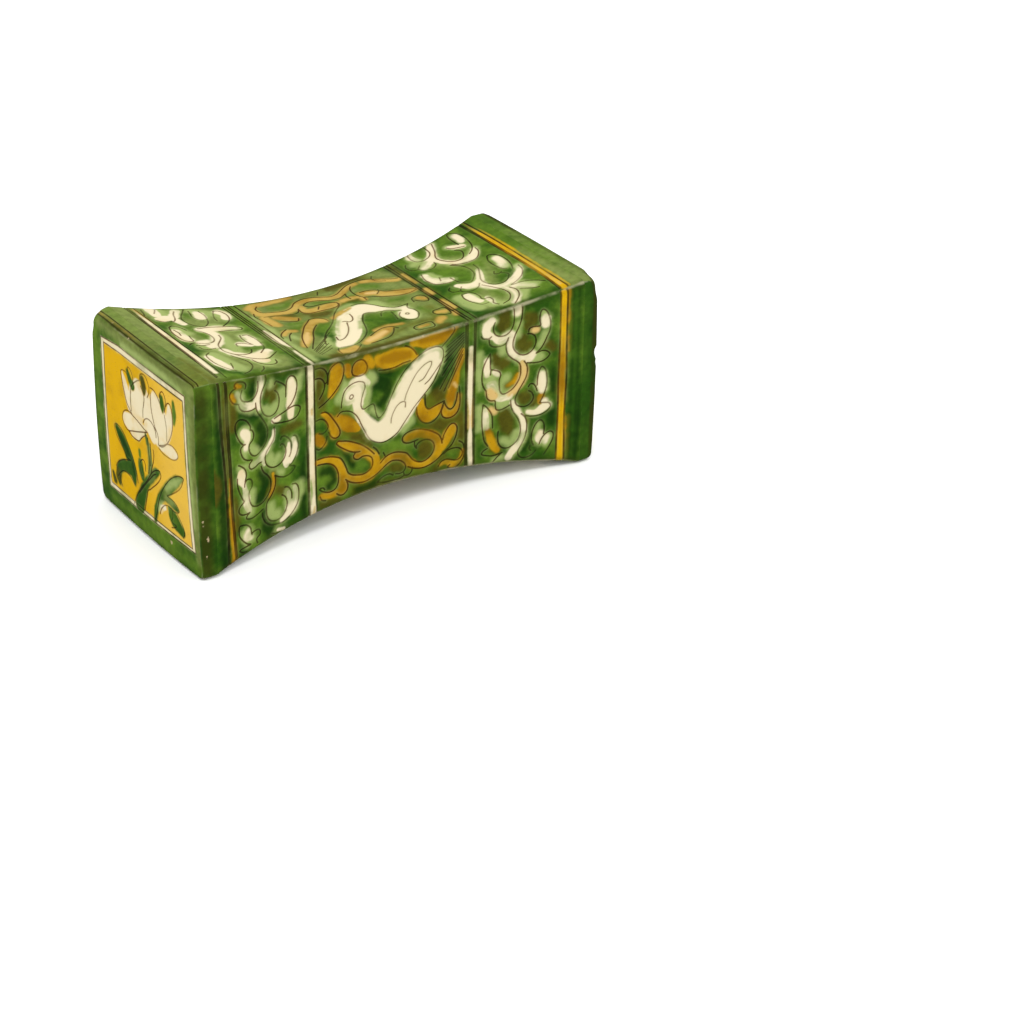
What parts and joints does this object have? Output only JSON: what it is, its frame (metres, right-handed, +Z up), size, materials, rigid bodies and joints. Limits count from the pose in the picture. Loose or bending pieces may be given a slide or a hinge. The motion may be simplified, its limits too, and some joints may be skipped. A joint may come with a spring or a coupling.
{
  "type": "ceramic pillow",
  "caption": "Hollow waisted block pillow of glazed earthenware slabs, with square ends and four concave long sides, for resting the head.",
  "frame": {"origin": "middle of the rectangle that the pillow covers on the surface it stands on, at the height of that surface", "axes": "+X along the length towards the vented end, +Y from the front towards the back, +Z up"},
  "size_m": [0.225, 0.1, 0.1],
  "materials": {
    "green_glaze": "glossy lead glaze, copper green with cream and amber, over incised lines",
    "amber_glaze": "glossy lead glaze, iron amber with a green border",
    "buff_clay": "bare fired earthenware, matt"
  },
  "bodies": {
    "root": {"top_slab": "green_glaze", "bottom_slab": "green_glaze", "front_slab": "green_glaze", "back_slab": "green_glaze", "left_end_slab": "amber_glaze", "right_end_slab": "amber_glaze", "seam_coil_top_front": "buff_clay", "seam_coil_top_back": "buff_clay", "seam_coil_bottom_front": "buff_clay", "seam_coil_bottom_back": "buff_clay", "left_coil_top": "buff_clay", "left_coil_bottom": "buff_clay", "left_coil_front": "buff_clay", "left_coil_back": "buff_clay", "right_coil_top": "buff_clay", "right_coil_bottom": "buff_clay", "right_coil_front": "buff_clay", "right_coil_back": "buff_clay"}
  },
  "joints": []
}
